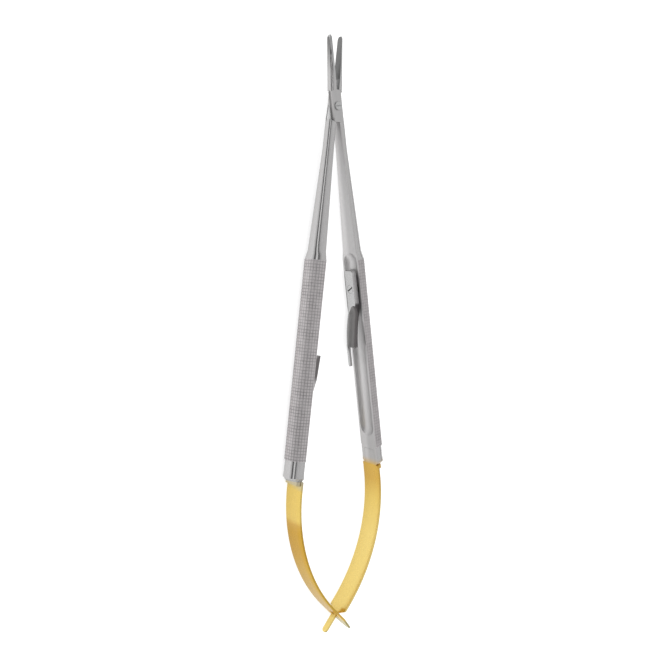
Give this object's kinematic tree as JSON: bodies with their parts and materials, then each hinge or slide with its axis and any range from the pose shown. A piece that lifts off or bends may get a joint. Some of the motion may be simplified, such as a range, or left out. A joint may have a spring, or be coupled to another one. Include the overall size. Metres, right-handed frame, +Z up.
{
  "type": "surgical needle holder",
  "caption": "Spring-handled micro needle holder with slim hard-faced jaws, knurled round grips, a snap lock and gilt leaf springs crossed at the back.",
  "frame": {"origin": "under the middle of the instrument's outline, on the surface it lies on", "axes": "+Y along the instrument to the jaw tips, +X to the handle that carries the latch lever, +Z up from the surface"},
  "size_m": [0.037, 0.1806, 0.0074],
  "materials": {
    "satin_steel": "satin stainless steel",
    "hard_metal": "matt dark tungsten carbide",
    "gilt_steel": "satin gilt spring steel",
    "bright_steel": "polished stainless steel"
  },
  "bodies": {
    "left_side": {"left_arm": "satin_steel", "left_arm_insert": "hard_metal", "pivot_screw": "bright_steel", "catch_hook": "bright_steel"},
    "right_side": {"right_arm": "satin_steel", "right_arm_insert": "hard_metal", "latch_screw": "bright_steel"},
    "left_spring": {"left_leaf_spring": "gilt_steel"},
    "right_spring": {"right_leaf_spring": "gilt_steel"},
    "latch": {"latch_lever": "bright_steel"}
  },
  "joints": [
    {"name": "jaw_pivot", "type": "hinge", "parent": "left_side", "child": "right_side", "pos_m": [0, 0.07044, 0.00372], "axis": [0, 0, -1], "range_deg": [0, 11.1], "stiffness_Nm_per_rad": 0.8},
    {"name": "right_leaf_bend", "type": "hinge", "parent": "right_side", "child": "right_spring", "pos_m": [0.01545, -0.04756, 0.00372], "axis": [0, 0, 1], "range_deg": [0, 23], "deforming": ["right_leaf_spring"]},
    {"name": "left_leaf_bend", "type": "hinge", "parent": "left_side", "child": "left_spring", "pos_m": [-0.01545, -0.04756, 0.00372], "axis": [0, 0, -1], "range_deg": [0, 23], "deforming": ["left_leaf_spring"]},
    {"name": "latch_swing", "type": "hinge", "parent": "right_side", "child": "latch", "pos_m": [0.00699, 0.01709, 0.00372], "axis": [0.9915, 0.1298, 0], "range_deg": [0, 3], "stiffness_Nm_per_rad": 0.002}
  ],
  "couplings": [
    {"joint": "right_leaf_bend", "follows": "jaw_pivot", "ratio": 2.05},
    {"joint": "left_leaf_bend", "follows": "jaw_pivot", "ratio": 2.05}
  ]
}
